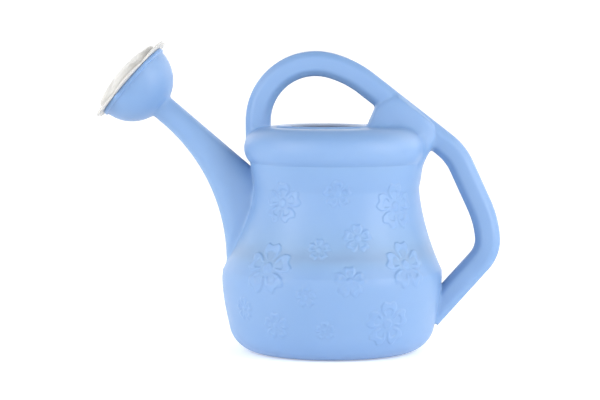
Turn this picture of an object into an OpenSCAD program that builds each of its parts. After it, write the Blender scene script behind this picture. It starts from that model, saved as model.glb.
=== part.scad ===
// A two-gallon watering can: a hollow plastic moulding (tank, horn spout, rose cup,
// carry handle, post and pour handle) and a flower-shaped rose pushed into the cup.
// Millimetres. +Z is up, the spout points to -X, and the origin is the middle of the base.

/* [Wall] */
// Thickness of the moulded wall
wall = 1.8; // [1.4:0.1:2.6]

/* [Tank] */
// Radius of the flat part of the base
base_r = 82; // [70:1:86]
// Radius of the rounding between the base and the side
base_round = 33.7; // [28:0.1:35]
// Radius of the belt, the widest part of the tank
belt_r = 123.5; // [118:0.5:128]
// Height of the top edge of the belt
belt_z = 90; // [84:1:96]
// Radius of the waist
waist_r = 92.5; // [86:0.5:96]
// Height of the waist
waist_z = 184; // [176:1:190]
// Radius of the groove under the shoulder
groove_r = 98.5; // [96:0.5:101]
// Height of the groove under the shoulder
groove_z = 213; // [208:1:216]
// Radius of the rolled shoulder's rounding
shoulder_round = 23; // [20:1:24]
// Height of the tank's flat top
top_z = 251; // [248:1:256]

/* [Fill opening] */
// Radius of the opening that the can is filled through
fill_r = 50; // [40:1:54]
// Place of the opening along the can
fill_x = -14.5; // [-18:0.5:-11]
// Height of the lip round the opening
lip_h = 2; // [1:0.5:4]

/* [Spout] */
// Radius of the spout where it leaves the rose cup
neck_r = 13.9; // [12:0.1:16]
// Fall of the spout's straight upper edge, from level
spout_fall = 40.3; // [38:0.1:42]
// Radius of the curve that the lower edge follows down to the belt
horn_bend = 202; // [190:1:215]
// Half the spout's width where it meets the tank
root_half_w = 25; // [20:1:30]

/* [Rose cup] */
// Radius of the cup, a half ball
cup_r = 46.2; // [44:0.1:48]
// Place of the middle of the cup's mouth along the can
mouth_x = -227.3; // [-230:0.1:-224]
// Height of the middle of the cup's mouth
mouth_z = 302.9; // [300:0.1:306]
// Lean of the mouth from level
mouth_lean = 48.8; // [46:0.1:51]
// Radius of the bead round the mouth
bead_r = 1.7; // [1.2:0.1:2]

/* [Handles] */
// Height of the handle's section, seen from the side
grip_h = 28.5; // [26:0.5:30]
// Width of the handle's section, across the can
grip_w = 25; // [22:0.5:28]
// Width of the bevels along the handle
grip_bevel = 7; // [4:0.5:9]

/* [Rose] */
// Count of petals round the rose
petals = 6; // [5:1:8]
// Distance from the middle to the tip of a petal
petal_tip = 60; // [58:0.5:63]
// Radius of a petal's round end
petal_round = 24; // [22:0.5:26]
// Thickness of the petals
petal_t = 2.5; // [2:0.1:3]
// Radius of the raised dome
dome_r = 45; // [42:0.5:46]
// Height of the dome's crown above the cup's mouth
dome_h = 16.8; // [12:0.1:18]
// Radius of a spray hole
spray_r = 1; // [0.6:0.1:1.4]
// Depth of the skirt that goes into the cup
skirt_depth = 6; // [4:0.5:8]

/* [Hidden] */
$fn = 96;
arc_steps = 8;
cut = 1;

// Tank
base_edge_angle = 11.5;
side_foot = [base_r + base_round * cos(base_edge_angle), base_round * (1 - sin(base_edge_angle))];
crest_z = belt_z - 7;
flare_power = 1.52;
flare_steps = 10;
flare_from = 0.98;
shoulder_z = top_z - shoulder_round;
groove_angle = -asin((shoulder_z - groove_z) / shoulder_round);
shoulder_x = groove_r - shoulder_round * cos(groove_angle);

// Spout: the two edges, seen from the side, run from the cup to the inside of the tank
cup_axis = [sin(mouth_lean), -cos(mouth_lean)];
neck_reach = 40;
neck_at = [mouth_x, mouth_z] + neck_reach * cup_axis;
fall_dir = [cos(spout_fall), -sin(spout_fall)];
fall_side = [sin(spout_fall), cos(spout_fall)];
upper_start = neck_at + neck_r * fall_side;
lower_start = neck_at - neck_r * fall_side;
lead_len = 18;
bend_from = 0.1;
bend_to = 0.8;
bend_start = lower_start + lead_len * fall_dir;
bend_centre = bend_start - horn_bend * fall_side;
upper_len = 155;
root_dive = 45;
root_drift = [1, -0.1];
hollow_run_past = 0.02;
horn_rings = 12;
oval_sides = 32;

// Rose cup: how far the middle of the bead lies inside the cup's radius
bead_step = 0.6;

// Handle strap: each step is a length and 0, or a bend's radius and its angle
strap_start = [-87, 236];
carry_steps = [[25, 0], [62.5, 90], [95, 38], [60, 0]];
pour_steps = [[46, 0], [87, 28], [45, 0], [98, 24], [32, 42], [85, 0]];

// Largest turn between two stations of a bend
bend_step = 7;
carry_stations = walk(strap_start, 0, carry_steps);
carry_end = carry_stations[len(carry_stations) - 1];
pour_stations = walk(carry_end[0], carry_end[1], pour_steps);

// Post: rings from its head inside the strap to its foot inside the shoulder, each a
// back edge, a front edge and half a width
post_rings = [[[128, 242], [54, 288], 5], [[131, 225], [45, 275], 15],
    [[112, 221.5], [38, 257], 20], [[99, 214], [34, 238], 25]];

// Rose: it sits just clear of the cup, and its skirt is loose in the mouth by the skirt gap
seat_gap = 0.3;
skirt_gap = 0.9;
rose_wall = 2;
dome_edge = 7;
dome_round = 4;
skirt_r = cup_r - wall - skirt_gap;
crown_rise = dome_h - dome_edge;
crown_round = (pow(dome_r - dome_round, 2) + pow(crown_rise, 2)) / (2 * crown_rise);
crown_angle = acos((dome_r - dome_round) / crown_round);
spray_pitch = 5.5;
spray_rings = 4;

moulding_blue = [0.58, 0.73, 0.93];
rose_white = [0.94, 0.94, 0.92];

// Points of an arc about c, from angle a to angle b
function arc(c, r, a, b, n = arc_steps) =
    [for (i = [0:n]) let (t = a + (b - a) * i / n) c + r * [cos(t), sin(t)]];

// Half outline of the tank, taken in from the outside by inset
function tank_outline(inset) = concat(
    [[0, inset]],
    arc([base_r, base_round], base_round - inset, -90, -base_edge_angle),
    [for (i = [1:arc_steps]) let (s = i / arc_steps)
        [side_foot.x - inset + (belt_r - side_foot.x) * sin(90 * s),
         side_foot.y + (crest_z - side_foot.y) * s]],
    [for (i = [0:flare_steps]) let (s = flare_from * (1 - i / flare_steps))
        [waist_r + (belt_r - waist_r) * pow(s, flare_power) - inset, waist_z - (waist_z - belt_z) * s]],
    arc([shoulder_x, shoulder_z], shoulder_round - inset, groove_angle, 90),
    [[0, top_z - inset]]);

// The tank as a closed solid, taken in from the outside by inset
module tank_solid(inset = 0) rotate_extrude() polygon(tank_outline(inset));

module tank() color(moulding_blue) difference() {
    union() {
        tank_solid();
        translate([fill_x, 0, top_z - wall]) cylinder(r = fill_r + wall, h = wall + lip_h);
    }
    tank_solid(wall);
    translate([fill_x, 0, top_z - 2 * wall]) cylinder(r = fill_r, h = 2 * wall + lip_h + cut);
    horn_solid(wall);
}

// Two edges of the spout at t, from 0 at the cup to 1 inside the tank: the upper one is
// straight, and the lower one is straight, bends down to the belt and then dives into the tank
function upper_edge(t) = upper_start + upper_len * t * fall_dir;
function lower_edge(t) = let (turn = (90 - spout_fall) * min(1, (t - bend_from) / (bend_to - bend_from)))
    t < bend_from ? lower_start + lead_len * t / bend_from * fall_dir
    : bend_centre + horn_bend * [sin(spout_fall + turn), cos(spout_fall + turn)]
        + root_dive * max(0, t - bend_to) / (1 - bend_to) * root_drift;

// An upright oval ring whose long axis runs from one edge point to the other
function oval_ring(top, low, half_w, inset) =
    let (mid = (top + low) / 2, half = (top - low) / 2, grow = 1 - inset / norm(half))
    [for (k = [0:oval_sides - 1]) let (a = 360 * k / oval_sides, p = mid + half * grow * cos(a))
        [p.x, (half_w - inset) * sin(a), p.y]];

// A closed solid with a skin over a row of rings, all with the same number of points
module skin(rings) {
    n = len(rings[0]);
    last = len(rings) - 1;
    walls = [for (i = [0:last - 1], k = [0:n - 1], half = [0, 1])
        let (a = i * n + k, b = i * n + (k + 1) % n)
        half == 0 ? [a, b, a + n] : [b, b + n, a + n]];
    near_end = [for (k = [n - 1:-1:0]) k];
    far_end = [for (k = [0:n - 1]) last * n + k];
    polyhedron([for (ring = rings) for (p = ring) p], concat(walls, [near_end, far_end]));
}

// The spout as a closed solid; the inner one runs past the outer at both ends
module horn_solid(inset = 0) {
    extra = inset > 0 ? hollow_run_past : 0;
    skin([for (i = [0:horn_rings]) let (t = -extra + (1 + 2 * extra) * i / horn_rings)
        oval_ring(upper_edge(t), lower_edge(t), neck_r + (root_half_w - neck_r) * t, inset)]);
}

// Carries its children to the cup's mouth, with +Z out of the mouth
module at_mouth() translate([mouth_x, 0, mouth_z]) rotate([0, -mouth_lean, 0]) children();

module spout() color(moulding_blue) difference() {
    horn_solid();
    horn_solid(wall);
    tank_solid();
    at_mouth() sphere(cup_r);
}

module rose_cup() color(moulding_blue) at_mouth() {
    difference() {
        sphere(cup_r);
        sphere(cup_r - wall);
        translate([0, 0, cup_r - bead_r]) cube(2 * cup_r, center = true);
        translate([0, 0, -cup_r - cut]) cylinder(r = neck_r - wall, h = cup_r);
    }
    translate([0, 0, -bead_r]) rotate_extrude() translate([cup_r - bead_step, 0]) circle(bead_r);
}

// Section of the handles: a box with its four long edges bevelled at 45 degrees
function grip_section(inset) =
    let (x = grip_h / 2 - inset, y = grip_w / 2 - inset, b = grip_bevel - 2 * inset * tan(45 / 2))
    [[x, b - y], [x, y - b], [x - b, y], [b - x, y], [-x, y - b], [-x, b - y], [b - x, -y], [x - b, -y]];

// Stations [place, heading] along a handle that turns towards +X; a heading of 0 is up
function walk(at, heading, steps, i = 0) =
    i == len(steps) ? [[at, heading]] :
    let (reach = steps[i][0], turn = steps[i][1])
    turn == 0 ? concat([[at, heading]], walk(at + reach * [sin(heading), cos(heading)], heading, steps, i + 1)) :
    let (n = ceil(turn / bend_step), centre = at + reach * [cos(heading), -sin(heading)],
         round_to = function(h) centre - reach * [cos(h), -sin(h)])
    concat([for (k = [0:n - 1]) let (h = heading + turn * k / n) [round_to(h), h]],
        walk(round_to(heading + turn), heading + turn, steps, i + 1));

// The handle's section carried along its stations
module strap_solid(stations, inset = 0) skin([for (s = stations)
    [for (q = grip_section(inset)) let (p = s[0] + q.x * [cos(s[1]), -sin(s[1])]) [p.x, -q.y, p.y]]]);

module carry_handle() color(moulding_blue) difference() {
    strap_solid(carry_stations);
    strap_solid(carry_stations, wall);
    tank_solid();
}

module pour_handle() color(moulding_blue) difference() {
    strap_solid(pour_stations);
    strap_solid(pour_stations, wall);
    tank_solid();
}

// The post's foot is inside the shoulder and its head inside the strap
module post_solid(inset = 0) skin([for (r = post_rings) oval_ring(r[0], r[1], r[2], inset)]);

module handle_post() color(moulding_blue) difference() {
    post_solid();
    post_solid(wall);
    strap_solid(carry_stations);
    strap_solid(pour_stations);
    tank_solid();
}

// Half outline of the rose's dome, taken in from the outside by inset, down to foot
function dome_outline(inset, foot) = concat(
    arc([0, dome_h - crown_round], crown_round - inset, 90, crown_angle),
    arc([dome_r - dome_round, dome_edge - dome_round], dome_round - inset, crown_angle, 0),
    [[dome_r - inset, foot], [0, foot]]);

module rose() color(rose_white) at_mouth() difference() {
    union() {
        rotate_extrude() polygon(dome_outline(0, seat_gap));
        for (i = [0:petals - 1])
            rotate(360 * (i + 0.5) / petals) translate([petal_tip - petal_round, 0, seat_gap])
                cylinder(r = petal_round, h = petal_t);
        translate([0, 0, -skirt_depth]) cylinder(r = skirt_r, h = skirt_depth + petal_t);
    }
    rotate_extrude() polygon(dome_outline(rose_wall, seat_gap + petal_t));
    translate([0, 0, -skirt_depth - cut]) cylinder(r = skirt_r - rose_wall, h = skirt_depth + petal_t + 2 * cut);
    for (ring = [0:spray_rings - 1], i = [0:max(0, 6 * ring - 1)])
        rotate(60 * i / max(1, ring)) translate([spray_pitch * ring, 0, 0]) cylinder(r = spray_r, h = dome_h + cut);
}

tank();
spout();
rose_cup();
carry_handle();
handle_post();
pour_handle();
rose();
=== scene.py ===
import math

import bmesh
import bpy
from mathutils import Matrix, Vector, kdtree
from mathutils.bvhtree import BVHTree


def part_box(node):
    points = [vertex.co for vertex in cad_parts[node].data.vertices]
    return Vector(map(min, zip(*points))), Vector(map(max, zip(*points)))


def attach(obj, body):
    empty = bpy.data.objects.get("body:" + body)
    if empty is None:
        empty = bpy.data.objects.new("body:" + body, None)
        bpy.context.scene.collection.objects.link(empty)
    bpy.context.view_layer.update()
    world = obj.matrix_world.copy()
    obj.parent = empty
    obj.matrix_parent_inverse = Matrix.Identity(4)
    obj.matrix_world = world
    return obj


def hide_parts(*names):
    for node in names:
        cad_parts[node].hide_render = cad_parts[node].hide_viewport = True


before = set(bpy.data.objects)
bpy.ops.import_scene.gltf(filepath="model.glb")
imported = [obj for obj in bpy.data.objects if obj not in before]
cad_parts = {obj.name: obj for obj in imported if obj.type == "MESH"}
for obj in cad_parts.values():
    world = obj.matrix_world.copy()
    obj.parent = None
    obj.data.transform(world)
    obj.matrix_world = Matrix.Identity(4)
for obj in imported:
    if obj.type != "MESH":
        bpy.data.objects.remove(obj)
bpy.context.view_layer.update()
scene = bpy.context.scene

# ---------------------------------------------------------------------------
# The studio: a pale floor that runs out of sight, a surround that is white low
# down and dark overhead, a large soft box to each side and a small one behind.
# ---------------------------------------------------------------------------
scene.view_settings.view_transform = "Standard"
scene.view_settings.look = "None"

surround = bpy.data.worlds.new("white_surround")
surround.use_nodes = True
surround_nodes = surround.node_tree.nodes
surround_links = surround.node_tree.links
surround_light = surround_nodes["Background"]
surround_light.inputs["Strength"].default_value = 1.62
skyward = surround_nodes.new("ShaderNodeTexCoord")
skyward_parts = surround_nodes.new("ShaderNodeSeparateXYZ")
ceiling_shade = surround_nodes.new("ShaderNodeValToRGB")
ceiling_steps = ceiling_shade.color_ramp.elements
ceiling_steps[0].position = 0.0
ceiling_steps[0].color = (0.64, 0.64, 0.64, 1.0)
ceiling_steps[1].position = 0.92
ceiling_steps[1].color = (0.04, 0.04, 0.04, 1.0)
for height, shade in ((0.1, 1.0), (0.38, 1.0), (0.62, 0.86), (0.78, 0.35)):
    ceiling_steps.new(height).color = (shade, shade, shade, 1.0)
surround_links.new(skyward.outputs["Generated"], skyward_parts.inputs["Vector"])
surround_links.new(skyward_parts.outputs["Z"], ceiling_shade.inputs["Fac"])
surround_links.new(ceiling_shade.outputs["Color"], surround_light.inputs["Color"])
scene.world = surround

floor_mesh = bpy.data.meshes.new("studio_floor")
floor_build = bmesh.new()
bmesh.ops.create_grid(floor_build, x_segments=1, y_segments=1, size=30.0)
floor_build.to_mesh(floor_mesh)
floor_build.free()
floor = bpy.data.objects.new("studio_floor", floor_mesh)
scene.collection.objects.link(floor)
floor_paint = bpy.data.materials.new("floor_paint")
floor_paint.use_nodes = True
floor_shader = floor_paint.node_tree.nodes["Principled BSDF"]
floor_shader.inputs["Base Color"].default_value = (0.93, 0.93, 0.93, 1.0)
floor_shader.inputs["Roughness"].default_value = 0.85
floor_shader.inputs["Emission Color"].default_value = (1.0, 1.0, 1.0, 1.0)
floor_shader.inputs["Emission Strength"].default_value = 0.27
floor_mesh.materials.append(floor_paint)


def soft_box(name, at, aim, width, height, watts):
    """A flat soft light at one place, turned to face another."""
    lamp = bpy.data.lights.new(name, "AREA")
    lamp.shape = "RECTANGLE"
    lamp.size = width
    lamp.size_y = height
    lamp.energy = watts
    box = bpy.data.objects.new(name, lamp)
    box.location = at
    box.rotation_euler = (Vector(aim) - Vector(at)).to_track_quat("-Z", "Y").to_euler()
    scene.collection.objects.link(box)


can_middle = (0.0, 0.0, 0.15)
soft_box("left_soft_box", (-1.55, -0.95, 0.75), can_middle, 0.45, 1.4, 11.5)
soft_box("right_soft_box", (1.6, -0.9, 0.75), can_middle, 0.8, 1.4, 15.5)
soft_box("back_soft_box", (1.5, 0.9, 0.9), can_middle, 0.6, 1.2, 4.0)

camera_turn = math.radians(3.0)
camera_pitch = math.radians(4.38)
camera_distance = 2.4247
camera_aim = Vector((-0.0384, 0.0, 0.1688))
camera_back = Vector((
    math.sin(camera_turn) * math.cos(camera_pitch),
    -math.cos(camera_turn) * math.cos(camera_pitch),
    math.sin(camera_pitch),
))
camera_data = bpy.data.cameras.new("studio_camera")
camera_data.sensor_width = 36.0
camera_data.lens = 129.5
camera = bpy.data.objects.new("studio_camera", camera_data)
camera.location = camera_aim + camera_back * camera_distance
camera.rotation_euler = (-camera_back).to_track_quat("-Z", "Y").to_euler()
scene.collection.objects.link(camera)
scene.camera = camera

# ---------------------------------------------------------------------------
# The tank: the round body of the can, wide at a soft belt low down and narrow
# under a rolled shoulder. It is the largest part of one hollow polyethylene
# blow moulding; the regions below are made one by one and then joined to it.
# ---------------------------------------------------------------------------
MM = 0.001
tank_lo, tank_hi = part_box("tank")
belt_radius = (tank_hi.x - tank_lo.x) / 2 / MM
lip_top = tank_hi.z / MM
deck_height = lip_top - 2.0
wall = 1.8


def curve_points(make, first, last, count):
    """Points along one stretch of an outline, leaving out its last point."""
    return [make(first + (last - first) * i / count) for i in range(count)]


def tank_outline():
    """Half of the tank's section from the middle of its base to the middle of its deck."""
    foot_radius = 82.0
    foot_rounding = 33.7
    side_swell = 8.5
    side_foot = 27.0
    side_rise = 59.5
    belt_height = 90.0
    waist_radius = 92.5
    waist_height = 184.0
    flare_power = 1.52
    collar_gain = 4.9
    collar_rise = 28.0
    roll_middle = 81.06
    roll_rounding = 23.0

    def foot(angle):
        return (foot_radius + foot_rounding * math.cos(math.radians(angle)),
                foot_rounding + foot_rounding * math.sin(math.radians(angle)))

    def side(s):
        return (belt_radius - side_swell + side_swell * math.sin(math.radians(90 * s)),
                side_foot + side_rise * s)

    def waist(s):
        return (waist_radius + (belt_radius - waist_radius) * s ** flare_power,
                waist_height - (waist_height - belt_height) * s)

    def collar(s):
        return (waist_radius + collar_gain * s, waist_height + collar_rise * s)

    def roll(angle):
        return (roll_middle + roll_rounding * math.cos(math.radians(angle)),
                deck_height - roll_rounding + roll_rounding * math.sin(math.radians(angle)))

    def deck(s):
        return (roll_middle * (1 - s), deck_height)

    outline = [(0.0, 2.4), (30.0, 2.4), (62.0, 2.4), (68.0, 1.6), (74.0, 0.2), (78.0, 0.0)]
    outline += curve_points(foot, -90.0, -11.5, 18)
    outline += curve_points(side, 0.0, 1.0, 22)
    outline += curve_points(waist, 0.99, 0.0, 40)
    outline += curve_points(collar, 0.0, 0.96, 11) + [collar(0.97), collar(0.992)]
    outline += [roll(-42.5), roll(-40.5)] + curve_points(roll, -37.0, 90.0, 22)
    outline += curve_points(deck, 0.0, 1.0, 12)
    return outline + [(0.0, deck_height)]


def turned(outline, steps):
    """A closed round form: an outline in the XZ plane spun a full turn about Z."""
    build = bmesh.new()
    verts = [build.verts.new((r, 0.0, z)) for r, z in outline]
    edges = [build.edges.new(pair) for pair in zip(verts, verts[1:])]
    bmesh.ops.spin(build, geom=verts + edges, cent=(0, 0, 0), axis=(0, 0, 1), dvec=(0, 0, 0),
                   angle=math.tau, steps=steps, use_merge=True, use_duplicate=False)
    bmesh.ops.remove_doubles(build, verts=build.verts, dist=0.001)
    bmesh.ops.recalc_face_normals(build, faces=build.faces)
    return build


def lean(build):
    """Sets the blown body's shoulder behind its belt, and fades its roll out under the post."""
    belt_shift = -2.5
    shoulder_shift = 5.5
    lean_from = 70.0
    lean_over = 130.0
    roll_fade = 5.0
    fade_from = 203.0
    fade_over = 14.0
    rim_radius = 60.0
    for vert in build.verts:
        rise = min(max((vert.co.z - lean_from) / lean_over, 0.0), 1.0)
        under_post = min(max((vert.co.z - fade_from) / fade_over, 0.0), 1.0)
        backward = 0.0
        if math.hypot(vert.co.x, vert.co.y) > rim_radius:
            backward = max(0.0, math.cos(math.atan2(vert.co.y, vert.co.x))) ** 8
        vert.co.x += (belt_shift + shoulder_shift * rise * rise * (3 - 2 * rise)
                      - roll_fade * backward * under_post)


def region(name, build):
    """A named mesh object of one region, in metres, with a stand-in finish to know it by."""
    bmesh.ops.scale(build, vec=(MM, MM, MM), verts=build.verts)
    mesh = bpy.data.meshes.new(name)
    build.to_mesh(mesh)
    build.free()
    mesh.materials.append(bpy.data.materials.new(name))
    shape = bpy.data.objects.new(name, mesh)
    scene.collection.objects.link(shape)
    return shape


tank_build = turned(tank_outline(), 192)
lean(tank_build)
tank = region("tank_region", tank_build)

# ---------------------------------------------------------------------------
# The fill opening: a round hole in the deck, under the carry handle, with a
# low rounded lip where the moulding was trimmed.
# ---------------------------------------------------------------------------
fill_radius = 50.0
fill_middle = -11.5
lip_outline = [(0.0, deck_height - 0.6), (fill_radius + 4.2, deck_height - 0.6),
               (fill_radius + 3.8, deck_height + 0.2), (fill_radius + 3.0, deck_height + 1.2),
               (fill_radius + 1.9, deck_height + 1.8), (fill_radius + 0.8, lip_top),
               (0.0, lip_top)]
lip_build = turned(lip_outline, 96)
bmesh.ops.translate(lip_build, vec=(fill_middle, 0, 0), verts=lip_build.verts)
lip = region("lip_region", lip_build)

# ---------------------------------------------------------------------------
# The spout: a long horn of oval section that leaves the tank's flank wide,
# rises at about forty degrees and narrows to the neck behind the cup.
# ---------------------------------------------------------------------------
mouth_turn = math.radians(48.8)
mouth_out = Vector((-math.sin(mouth_turn), 0, math.cos(mouth_turn)))
mouth_side = Vector((math.cos(mouth_turn), 0, math.sin(mouth_turn)))
cup_radius = 46.2
mouth_middle = Vector((-227.3, 0, 302.9))
neck_middle = mouth_middle - mouth_out * 40.0
neck_radius = 13.9
horn_fall = math.radians(40.3)
horn_along = Vector((math.cos(horn_fall), 0, -math.sin(horn_fall)))
horn_below = Vector((-math.sin(horn_fall), 0, -math.cos(horn_fall)))


def horn_top(t):
    """The horn's upper edge: straight from the neck to inside the tank's shoulder."""
    top_length = 155.0
    return neck_middle + mouth_side * neck_radius + horn_along * top_length * t


def horn_under(t):
    """The horn's lower edge: a short straight, a long bend to upright, then down into the tank."""
    straight = 18.0
    straight_share = 0.1
    bend_radius = 202.0
    bend_turn = math.radians(49.7)
    bend_share = 0.7
    dive_from = 0.8
    dive_share = 0.2
    dive = Vector((0.25, 0, -1)) * 45.0
    start = neck_middle - mouth_side * neck_radius
    if t < straight_share:
        return start + horn_along * straight * t / straight_share
    turn = bend_turn * min((t - straight_share) / bend_share, 1.0)
    point = (start + horn_along * straight + horn_along * bend_radius * math.sin(turn)
             + horn_below * bend_radius * (1 - math.cos(turn)))
    if t > dive_from:
        point = point + dive * (t - dive_from) / dive_share
    return point


def oval_between(build, top, under, half_width, segments, squareness=2.0):
    """One oval ring standing between two points of the XZ plane, squarer above a squareness of 2."""
    middle = (top + under) / 2
    reach = (top - under) / 2
    normal = reach.cross(Vector((0, 1, 0))).normalized()
    stance = Matrix((
        (reach.x, 0, normal.x, middle.x),
        (reach.y, half_width, normal.y, middle.y),
        (reach.z, 0, normal.z, middle.z),
        (0, 0, 0, 1),
    ))
    ring = bmesh.ops.create_circle(build, cap_ends=False, segments=segments, radius=1.0)
    for vert in ring["verts"]:
        for axis in (0, 1):
            vert.co[axis] = math.copysign(abs(vert.co[axis]) ** (2.0 / squareness), vert.co[axis])
    bmesh.ops.transform(build, matrix=stance, verts=ring["verts"])
    return list({edge for vert in ring["verts"] for edge in vert.link_edges})


def skinned(build, rings):
    """A closed skin over a row of rings."""
    for ring, following in zip(rings, rings[1:]):
        bmesh.ops.bridge_loops(build, edges=ring + following)
    for end in (rings[0], rings[-1]):
        bmesh.ops.contextual_create(build, geom=end)
    bmesh.ops.recalc_face_normals(build, faces=build.faces)


def horn(shrink, first, last, count, segments):
    """The horn, or its hollow when shrunk by the wall."""
    build = bmesh.new()
    rings = []
    root_gain = 11.1
    root_power = 1.2
    for i in range(count + 1):
        t = first + (last - first) * i / count
        top = horn_top(t)
        under = horn_under(t) if t >= 0 else horn_under(0.0) + (top - horn_top(0.0))
        inward = (under - top).normalized() * shrink
        half_width = neck_radius + root_gain * min(max(t, 0.0), 1.0) ** root_power
        rings.append(oval_between(build, top + inward, under - inward, half_width - shrink, segments))
    skinned(build, rings)
    return build


spout = region("spout_region", horn(0.0, -0.08, 1.0, 64, 64))

# ---------------------------------------------------------------------------
# The rose cup: half a ball on the end of the horn, open outwards, with a
# small bead round its mouth that the rose pushes past.
# ---------------------------------------------------------------------------
mouth_stance = Matrix.Translation(mouth_middle) @ Matrix.Rotation(-mouth_turn, 4, "Y")


def cup_arc(radius, first, last, count):
    """Points of the ball's section, measured in degrees from its pole."""
    angles = [math.radians(first + (last - first) * i / count) for i in range(count + 1)]
    return [(radius * math.sin(a), -radius * math.cos(a)) for a in angles]


cup_outline = cup_arc(cup_radius, 0.0, 83.0, 26)
cup_outline += [(45.9, -5.1), (46.6, -4.7), (47.5, -4.3), (47.95, -3.7), (48.1, -3.0), (48.1, -1.4),
                (47.95, -0.7), (47.5, -0.2), (46.8, 0.0), (45.6, 0.0), (0.0, 0.0)]
cup_build = turned(cup_outline, 96)
bmesh.ops.transform(cup_build, matrix=mouth_stance, verts=cup_build.verts)
rose_cup = region("cup_region", cup_build)

# ---------------------------------------------------------------------------
# The two handles: one strap with bevelled edges, hollow on the real can and
# made here as a closed skin. It rises from the front of the deck, loops over
# the fill opening, runs down behind the tank as the pour handle, turns in at
# the bottom and dives into the flank.
# ---------------------------------------------------------------------------
strap_depth = 28.1
strap_width = 25.0
strap_bevel = 7.0
strap_start = Vector((-85.3, 0, 226.0))
strap_route = [
    # length and 0 for a straight, radius and degrees for a bend
    (31.4, 0), (64.4, 105.3), (113.4, 22.6), (111.1, 0),
    (64.3, 27.5), (47.1, 0), (111.9, 19.0), (36.2, 47.4), (85.0, 0),
]


def strap_section(build, depth, width, bevel):
    """The strap's section as a closed loop of edges, lying flat at the strap's start."""
    bevel_softness = 2.6
    corners = [(-depth / 2, -width / 2), (depth / 2, -width / 2),
               (depth / 2, width / 2), (-depth / 2, width / 2)]
    verts = [build.verts.new((strap_start.x + x, y, strap_start.z)) for x, y in corners]
    face = build.faces.new(verts)
    bmesh.ops.bevel(build, geom=list(face.verts), offset=bevel, offset_type="OFFSET", segments=1,
                    profile=0.5, affect="VERTICES", material=-1)
    bmesh.ops.bevel(build, geom=list(build.verts), offset=bevel_softness, offset_type="OFFSET", segments=3,
                    profile=0.5, affect="VERTICES", material=-1)
    edges = list(build.edges)
    bmesh.ops.delete(build, geom=list(build.faces), context="FACES_ONLY")
    return edges


def strap(depth, width, bevel, route, pitch):
    """A section pushed along straights and swung round bends, then closed at both ends."""
    build = bmesh.new()
    loop = strap_section(build, depth, width, bevel)
    first = loop
    at = strap_start.copy()
    heading = 0.0
    for length, turn in route:
        along = Vector((math.sin(heading), 0, math.cos(heading)))
        if turn == 0:
            steps = max(1, round(length / pitch))
            for _ in range(steps):
                grown = bmesh.ops.extrude_edge_only(build, edges=loop)["geom"]
                moved = [item for item in grown if isinstance(item, bmesh.types.BMVert)]
                bmesh.ops.translate(build, vec=along * (length / steps), verts=moved)
                loop = [item for item in grown if isinstance(item, bmesh.types.BMEdge)
                        and all(vert in moved for vert in item.verts)]
            at = at + along * length
        else:
            swing = math.radians(turn)
            centre = at + Vector((math.cos(heading), 0, -math.sin(heading))) * length
            steps = max(2, round(length * swing / pitch))
            ring = bmesh.ops.spin(build, geom=loop, cent=centre, axis=(0, 1, 0), dvec=(0, 0, 0),
                                  angle=swing, steps=steps, use_merge=False, use_duplicate=False)
            loop = [item for item in ring["geom_last"] if isinstance(item, bmesh.types.BMEdge)]
            at = centre + Matrix.Rotation(swing, 3, "Y") @ (at - centre)
            heading += swing
    for end in (first, loop):
        bmesh.ops.contextual_create(build, geom=end)
    bmesh.ops.recalc_face_normals(build, faces=build.faces)
    return build


handles = region("handle_region", strap(strap_depth, strap_width, strap_bevel, strap_route, 3.0))

# ---------------------------------------------------------------------------
# The handle post: the wide lump that carries both handles on the back of the
# shoulder, blown hollow with the rest on the real can and made here as a closed
# skin. Its foot spreads into the roll.
# ---------------------------------------------------------------------------
post_rings = [
    # back edge, front edge, half width
    ((110, 257), (71, 289.5), 7.0),
    ((113, 252.5), (66, 288.5), 15.0),
    ((115, 246), (55, 283), 17.5),
    ((115, 237), (46, 274.5), 20.0),
    ((107.5, 225), (40, 261), 24.0),
    ((101.5, 214), (35, 250), 30.0),
    ((97, 203), (28, 239), 42.0),
]
post_build = bmesh.new()
post_loops = []
for back, front, half_width in post_rings:
    back_edge = Vector((back[0], 0, back[1]))
    front_edge = Vector((front[0], 0, front[1]))
    post_loops.append(oval_between(post_build, back_edge, front_edge, half_width, 72, squareness=4.0))
skinned(post_build, post_loops)
post = region("post_region", post_build)

# ---------------------------------------------------------------------------
# Joining: the regions become one skin, as they leave the mould, and one hollow
# runs through tank, horn and cup. The handles and the post are closed skins.
# ---------------------------------------------------------------------------


def combine(base, others, operation):
    """The base with the others joined to it or cut from it."""
    for other in others:
        step = base.modifiers.new("step", "BOOLEAN")
        step.operation = operation
        step.solver = "EXACT"
        step.material_mode = "TRANSFER"
        step.object = other
    result = bpy.data.meshes.new_from_object(base.evaluated_get(bpy.context.evaluated_depsgraph_get()))
    base.modifiers.clear()
    base.data = result
    for other in others:
        bpy.data.objects.remove(other)
    return base


hollow_tank_build = turned([(0.0, 5.0), (66.0, 5.0), (80.0, 2.4), (97.0, 6.0), (109.0, 18.0), (114.0, 30.0),
                            (118.6, 52.0), (121.0, 72.0), (121.6, 84.0), (120.0, 92.0), (113.0, 112.0),
                            (105.0, 130.0), (97.5, 150.0), (92.0, 170.0), (90.7, 184.0), (93.6, 200.0),
                            (96.8, 213.5), (100.6, 220.0), (102.2, 228.0), (100.0, 237.0), (94.0, 245.0),
                            (86.0, 248.6), (78.0, 249.2), (0.0, 249.2)], 96)
lean(hollow_tank_build)
hollow_tank = region("tank_hollow", hollow_tank_build)
throat_build = turned([(0.0, 230.0), (fill_radius, 230.0), (fill_radius, 252.6), (fill_radius + 0.8, 253.4),
                       (fill_radius + 0.8, 262.0), (0.0, 262.0)], 96)
bmesh.ops.translate(throat_build, vec=(fill_middle, 0, 0), verts=throat_build.verts)
throat = region("throat_hollow", throat_build)
horn_hollow = region("horn_hollow", horn(wall, -0.16, 1.06, 32, 40))
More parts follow.
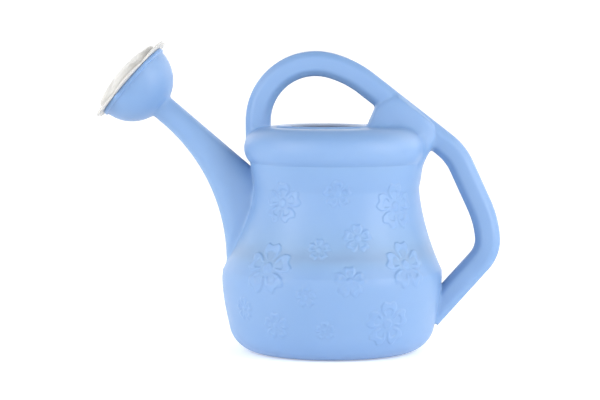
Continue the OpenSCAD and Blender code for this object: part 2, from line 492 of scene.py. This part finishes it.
cup_hollow_build = turned(cup_arc(cup_radius - wall, 0.0, 90.0, 20) + [(44.4, 6.0), (0.0, 6.0)], 72)
bmesh.ops.transform(cup_hollow_build, matrix=mouth_stance, verts=cup_hollow_build.verts)
cup_hollow = region("cup_hollow", cup_hollow_build)

can = combine(tank, [spout, rose_cup, post, handles, lip], "UNION")
can = combine(can, [hollow_tank, throat, horn_hollow, cup_hollow], "DIFFERENCE")
can.name = "can_moulding"
can.data.name = "can_moulding"
region_names = [finish.name for finish in can.data.materials]
skin = bmesh.new()
skin.from_mesh(can.data)
bmesh.ops.scale(skin, vec=(1 / MM, 1 / MM, 1 / MM), verts=skin.verts)


def is_outside(face):
    """True on a face of the outer skin."""
    return "hollow" not in region_names[face.material_index]


def seam_between(names):
    """The points along the seams between the named outer regions."""
    points = []
    for edge in skin.edges:
        kinds = {region_names[face.material_index] for face in edge.link_faces}
        if len(kinds) == 2 and kinds == set(names):
            points += [vert.co.copy() for vert in edge.verts]
            points.append((edge.verts[0].co + edge.verts[1].co) / 2)
    return points


def soften(names, reach, grain, rounds, where=None):
    """Rounds off a seam: the skin near it is cut finer, then relaxed over a shrinking band."""
    points = seam_between(names)
    if where:
        points = [point for point in points if where(point)]
    tree = kdtree.KDTree(len(points))
    for i, point in enumerate(points):
        tree.insert(point, i)
    tree.balance()

    def near(limit):
        """Outer vertices closer to the seam than a limit, away from any open rim."""
        found = []
        for vert in skin.verts:
            if tree.find(vert.co)[2] < limit and all(is_outside(face) for face in vert.link_faces):
                found.append(vert)
        return found

    band = set(near(reach))
    faces = {face for vert in band for face in vert.link_faces}
    bmesh.ops.triangulate(skin, faces=list(faces), quad_method="BEAUTY", ngon_method="BEAUTY")
    for _ in range(3):
        band = set(near(reach))
        long_edges = [edge for vert in band for edge in vert.link_edges if edge.calc_length() > grain]
        if not long_edges:
            break
        bmesh.ops.subdivide_edges(skin, edges=list(set(long_edges)), cuts=1)
        band = set(near(reach))
        faces = {face for vert in band for face in vert.link_faces}
        bmesh.ops.triangulate(skin, faces=list(faces), quad_method="BEAUTY", ngon_method="BEAUTY")
    for i in range(rounds):
        band = near(reach * (1.0 - 0.6 * i / rounds))
        bmesh.ops.smooth_vert(skin, verts=band, factor=0.5, use_axis_x=True, use_axis_y=True, use_axis_z=True)


# The edge where the pour handle leaves the post stays crisp, and the arch below it is round.
post_back = 90
arch_top = 228
soften(("tank_region", "post_region"), 17.0, 3.0, 26)
soften(("handle_region", "post_region"), 6.0, 2.5, 7, where=lambda p: p.x < post_back)
soften(("handle_region", "post_region"), 2.5, 2.0, 1, where=lambda p: p.x >= post_back and p.z >= arch_top)
soften(("handle_region", "post_region"), 9.0, 2.5, 12, where=lambda p: p.x >= post_back and p.z < arch_top)
soften(("tank_region", "handle_region"), 9.0, 2.5, 12, where=lambda p: p.x < 0)
soften(("tank_region", "handle_region"), 4.0, 2.5, 4, where=lambda p: p.x > 0)
soften(("tank_region", "spout_region"), 9.0, 3.0, 10, where=lambda p: p.z < 175)
soften(("tank_region", "spout_region"), 4.0, 2.5, 4, where=lambda p: p.z >= 175)
soften(("spout_region", "cup_region"), 5.0, 2.2, 6)

# ---------------------------------------------------------------------------
# The flowers: five-petalled flowers of three sizes, cut into both halves of
# the mould, so they stand about a millimetre proud of the tank's two sides.
# ---------------------------------------------------------------------------
flowers = [
    # across, up, radius
    (-53.3, 171.2, 23.0), (69.1, 167.2, 25.5), (-68.3, 102.6, 29.0), (81.0, 105.1, 26.8),
    (61.4, 42.6, 25.8), (7.1, 182.3, 15.1), (28.9, 135.2, 15.9), (21.6, 91.1, 16.5), (-58.8, 40.0, 15.2),
    (-12.5, 123.5, 12.2), (-26.2, 73.5, 11.4), (-95.2, 55.5, 13.4), (-5.5, 36.8, 10.8),
]


def along_table(value, table):
    """A value read off a short table of steps, with straight lines between them."""
    if value <= table[0][0]:
        return table[0][1]
    for (left, low), (right, high) in zip(table, table[1:]):
        if value <= right:
            return low + (high - low) * (value - left) / (right - left)
    return table[-1][1]


def rise_over(distance, width):
    """A smooth step from 0 to 1 centred on an outline."""
    s = min(max(distance / width + 0.5, 0.0), 1.0)
    return s * s * (3 - 2 * s)


def flower_edges(across, up, radius):
    """Distances inside the petals' outline, the lobed throat and the button."""
    out = math.hypot(across, up) / radius
    fifth = math.tau / 5
    turn = (math.atan2(across, up) + fifth / 2) % fifth - fifth / 2
    off = abs(math.degrees(turn))
    spread = along_table(out, [(0.34, 20), (0.42, 26), (0.52, 30), (0.66, 30),
                               (0.82, 26.5), (0.94, 20), (1.0, 14)])
    end = along_table(off, [(0, 0.885), (5, 0.905), (10, 0.965), (15, 1.0),
                            (20, 0.965), (25, 0.86), (30, 0.7)])
    petal = min(math.radians(spread - off) * out, end - out) * radius
    lobe = min(math.radians(19 - off) * out, 0.68 - 0.05 * (off / 17) ** 2 - out)
    throat = max(0.37 - out, lobe) * radius
    return petal, throat, (0.2 - out) * radius


def flower_height(across, up, radius):
    """How far the skin stands proud at one place of a flower."""
    petal, throat, button = flower_edges(across, up, radius)
    step = 1.5
    proud = 0.55 + 0.02 * radius
    petals = rise_over(petal, step) * (1 - 0.9 * rise_over(throat, step))
    return proud * (petals + 0.8 * rise_over(button, step))


def flower_stance(across, up, side):
    """The middle of a flower on the skin, its outward normal, and its across and up directions."""
    beyond_skin = 300.0
    start = Vector((across, side * beyond_skin, up))
    hit, normal, _, _ = skin_tree.ray_cast(start, Vector((0, -side, 0)))
    level = Vector((0, 0, 1)).cross(normal).normalized()
    return hit, normal, level, normal.cross(level)


skin_tree = BVHTree.FromBMesh(skin)
stances = [(flower_stance(across, up, side), radius) for across, up, radius in flowers for side in (-1, 1)]


def flower_place(stance, point):
    """A point's place across and up a flower, or None behind or beside it."""
    middle, normal, level, upward = stance
    from_middle = point - middle
    deepest = 14.0
    if abs(from_middle.dot(normal)) > deepest:
        return None
    return from_middle.dot(level), from_middle.dot(upward)


def cut_finer(margin, band):
    """Halves the skin's cells inside every flower, or only near its outlines."""
    chosen = set()
    for face in skin.faces:
        if region_names[face.material_index] != "tank_region":
            continue
        middle = face.calc_center_median()
        for stance, radius in stances:
            if (middle - stance[0]).length > radius * 1.25:
                continue
            place = flower_place(stance, middle)
            if place is None or math.hypot(*place) > radius * margin:
                continue
            edges = flower_edges(*place, radius)
            if band is None or min(abs(distance) for distance in edges) < band:
                chosen.update(face.edges)
            break
    bmesh.ops.subdivide_edges(skin, edges=list(chosen), cuts=1, use_grid_fill=True)


cut_finer(1.10, None)
cut_finer(1.08, 1.9)
skin.normal_update()
raised = []
for vert in skin.verts:
    for stance, radius in stances:
        if (vert.co - stance[0]).length > radius * 1.2:
            continue
        place = flower_place(stance, vert.co)
        if place is not None and all(is_outside(face) for face in vert.link_faces):
            raised.append((vert, vert.normal * flower_height(*place, radius)))
        break
for vert, lift in raised:
    vert.co += lift

bmesh.ops.scale(skin, vec=(MM, MM, MM), verts=skin.verts)
for face in skin.faces:
    face.smooth = True
    face.material_index = 0 if is_outside(face) else 1
can.data.materials.clear()
skin.to_mesh(can.data)
skin.free()

# ---------------------------------------------------------------------------
# The can's finish: light blue polyethylene, coloured right through, with the
# fine grain of the mould outside. The inside is the same plastic with painted
# light: its much paler colour stands in for light coming through the thin walls.
# ---------------------------------------------------------------------------


def moulded_plastic(name, colour, shade, roughness, soak, glow):
    """A semi-matt moulded plastic: a fine skin grain, slow ripples and a faint cloudiness in its colour."""
    finish = bpy.data.materials.new(name)
    finish.use_nodes = True
    nodes = finish.node_tree.nodes
    links = finish.node_tree.links
    shader = nodes["Principled BSDF"]
    shader.inputs["IOR"].default_value = 1.5
    shader.inputs["Subsurface Weight"].default_value = soak
    shader.inputs["Subsurface Radius"].default_value = glow
    shader.inputs["Subsurface Scale"].default_value = 0.006
    place = nodes.new("ShaderNodeTexCoord")

    cloud = nodes.new("ShaderNodeTexNoise")
    cloud.inputs["Scale"].default_value = 14.0
    cloud.inputs["Detail"].default_value = 3.0
    tint = nodes.new("ShaderNodeValToRGB")
    tint.color_ramp.elements[0].position = 0.3
    tint.color_ramp.elements[0].color = shade
    tint.color_ramp.elements[1].position = 0.7
    tint.color_ramp.elements[1].color = colour
    links.new(place.outputs["Object"], cloud.inputs["Vector"])
    links.new(cloud.outputs["Fac"], tint.inputs["Fac"])
    links.new(tint.outputs["Color"], shader.inputs["Base Color"])

    polish = nodes.new("ShaderNodeTexNoise")
    polish.inputs["Scale"].default_value = 60.0
    polish.inputs["Detail"].default_value = 4.0
    sheen = nodes.new("ShaderNodeMapRange")
    sheen.inputs["From Min"].default_value = 0.3
    sheen.inputs["From Max"].default_value = 0.7
    sheen.inputs["To Min"].default_value = roughness - 0.03
    sheen.inputs["To Max"].default_value = roughness + 0.04
    links.new(place.outputs["Object"], polish.inputs["Vector"])
    links.new(polish.outputs["Fac"], sheen.inputs["Value"])
    links.new(sheen.outputs["Result"], shader.inputs["Roughness"])

    ripple = nodes.new("ShaderNodeTexNoise")
    ripple.inputs["Scale"].default_value = 30.0
    ripple.inputs["Detail"].default_value = 1.0
    ripple_bump = nodes.new("ShaderNodeBump")
    ripple_bump.inputs["Strength"].default_value = 0.25
    ripple_bump.inputs["Distance"].default_value = 0.0012
    grain = nodes.new("ShaderNodeTexNoise")
    grain.inputs["Scale"].default_value = 1500.0
    grain.inputs["Detail"].default_value = 2.0
    grain_bump = nodes.new("ShaderNodeBump")
    grain_bump.inputs["Strength"].default_value = 0.12
    grain_bump.inputs["Distance"].default_value = 0.0002
    links.new(place.outputs["Object"], ripple.inputs["Vector"])
    links.new(place.outputs["Object"], grain.inputs["Vector"])
    links.new(ripple.outputs["Fac"], ripple_bump.inputs["Height"])
    links.new(grain.outputs["Fac"], grain_bump.inputs["Height"])
    links.new(ripple_bump.outputs["Normal"], grain_bump.inputs["Normal"])
    links.new(grain_bump.outputs["Normal"], shader.inputs["Normal"])
    return finish


blue_plastic = moulded_plastic("blue_polyethylene", (0.190, 0.320, 0.552, 1.0), (0.176, 0.306, 0.538, 1.0),
                               0.42, 0.3, (0.6, 0.8, 1.0))
# Painted light: the inside's pale colour stands in for light coming through the thin walls and the fill
# opening.
blue_inside_painted_light = moulded_plastic("blue_polyethylene_inside_painted_light", (0.62, 0.70, 0.85, 1.0), (0.60, 0.68, 0.83, 1.0),
                              0.55, 0.0, (0.6, 0.8, 1.0))
can.data.materials.append(blue_plastic)
can.data.materials.append(blue_inside_painted_light)
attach(can, "can")
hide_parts("tank", "spout", "rose_cup", "carry_handle", "handle_post", "pour_handle")

# ---------------------------------------------------------------------------
# The rose: a white cap moulded as a flower. Six petals lie on the cup's bead
# round a low dome with spray holes, and a skirt behind pushes into the mouth.
# ---------------------------------------------------------------------------
petal_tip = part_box("rose")[1].y / MM
petal_round = 24.0
petal_centre = petal_tip - petal_round
petal_seat = 0.1
dome_radius = 45.4
dome_top = 16.8


def petal_reach(angle):
    """How far the flower's outline lies from its middle, at an angle round it."""
    off = (angle % (math.tau / 6)) - math.tau / 12
    return petal_centre * math.cos(off) + math.sqrt(petal_round ** 2 - (petal_centre * math.sin(off)) ** 2)


def between_petals(angle):
    """1 in the valley between two petals, 0 along a petal's middle."""
    return 0.5 + 0.5 * math.cos(6 * angle)


plate_outline = [(0.0, petal_seat), (0.55, petal_seat), (0.8, petal_seat), (0.93, petal_seat),
                 (0.965, 0.45), (0.988, 0.85), (1.0, 1.5), (0.99, 2.15), (0.97, 2.55), (0.94, 2.8),
                 (0.90, 2.9), (0.86, 2.95), (0.82, 2.95), (0.78, 2.9), (0.74, 2.8), (0.7, 2.8), (0.0, 2.8)]
plate = turned(plate_outline, 180)
for vert in plate.verts:
    out = math.hypot(vert.co.x, vert.co.y)
    if out < 1e-6:
        continue
    angle = math.atan2(vert.co.y, vert.co.x)
    full = petal_reach(angle)
    lift = 0.0
    if vert.co.z > 2.0:
        lift = 0.9 * math.sin(math.pi * min(max((out - 0.7) / 0.3, 0.0), 1.0)) * (1 - between_petals(angle))
    vert.co.x *= full
    vert.co.y *= full
    vert.co.z += lift
plate_shape = region("rose_plate", plate)

dome_outline = [(0.0, 1.2), (44.6, 1.2), (45.2, 2.4), (dome_radius, 4.0), (dome_radius, 5.6)]
dome_outline += [(dome_radius - 0.2, 6.9), (dome_radius - 0.8, 8.1), (dome_radius - 1.7, 9.1), (42.6, 9.9)]
dome_outline += [(r, dome_top - 6.9 * (r / 43.0) ** 2) for r in range(41, 0, -2)]
dome_outline.append((0.0, dome_top))
dome = turned(dome_outline, 144)
for vert in dome.verts:
    out = math.hypot(vert.co.x, vert.co.y)
    if out < 1e-6 or vert.co.z < 1.3:
        continue
    angle = math.atan2(vert.co.y, vert.co.x)
    fold = between_petals(angle) ** 5
    climb = min(max((out - 10.0) / 32.0, 0.0), 1.0)
    vert.co.z -= 2.2 * fold * climb * min(1.0, (vert.co.z - 1.2) / 6.0)
    pinch = 1.0 - 0.045 * fold * climb
    vert.co.x *= pinch
    vert.co.y *= pinch
dome_shape = region("rose_dome", dome)

skirt_outline = [(0.0, 1.5), (43.2, 1.5), (43.5, 0.5), (43.5, -4.8), (43.2, -5.4), (42.6, -5.7), (0.0, -5.7)]
skirt_shape = region("rose_skirt", turned(skirt_outline, 120))
bowl_outline = [(0.0, -9.0), (41.5, -9.0), (41.5, 1.0), (39.6, 3.0), (38.8, 5.0), (37.6, 6.8)]
bowl_outline += [(r, dome_top - 3.6 - 6.9 * (r / 43.0) ** 2) for r in range(36, 0, -3)]
bowl_outline.append((0.0, dome_top - 3.6))
bowl = region("rose_bowl_hollow", turned(bowl_outline, 96))

spray_pitch = 5.5
spray_radius = 1.1
sprays = bmesh.new()
for ring, count in enumerate((1, 6, 12, 18)):
    for hole in range(count):
        turn = math.tau * (hole + 0.5) / count
        away = spray_pitch * ring
        stance = Matrix.Translation((away * math.cos(turn), away * math.sin(turn), 12.0))
        bmesh.ops.create_cone(sprays, cap_ends=True, segments=14, radius1=spray_radius, radius2=spray_radius,
                              depth=16.0, matrix=stance)
sprays_shape = region("spray_holes", sprays)

rose = combine(plate_shape, [dome_shape, skirt_shape], "UNION")
rose = combine(rose, [bowl, sprays_shape], "DIFFERENCE")
rose.name = "spray_rose"
rose.data.name = "spray_rose"
petal_turn = Matrix.Rotation(math.radians(4.0), 4, "Z")
rose.data.transform(Matrix.Scale(MM, 4) @ mouth_stance @ petal_turn @ Matrix.Scale(1 / MM, 4))
white_plastic = moulded_plastic("white_polypropylene", (0.53, 0.525, 0.505, 1.0), (0.50, 0.495, 0.475, 1.0),
                                0.38, 0.3, (1.0, 0.9, 0.8))
rose.data.materials.clear()
rose.data.materials.append(white_plastic)
for face in rose.data.polygons:
    face.use_smooth = True
    face.material_index = 0
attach(rose, "rose")
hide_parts("rose")
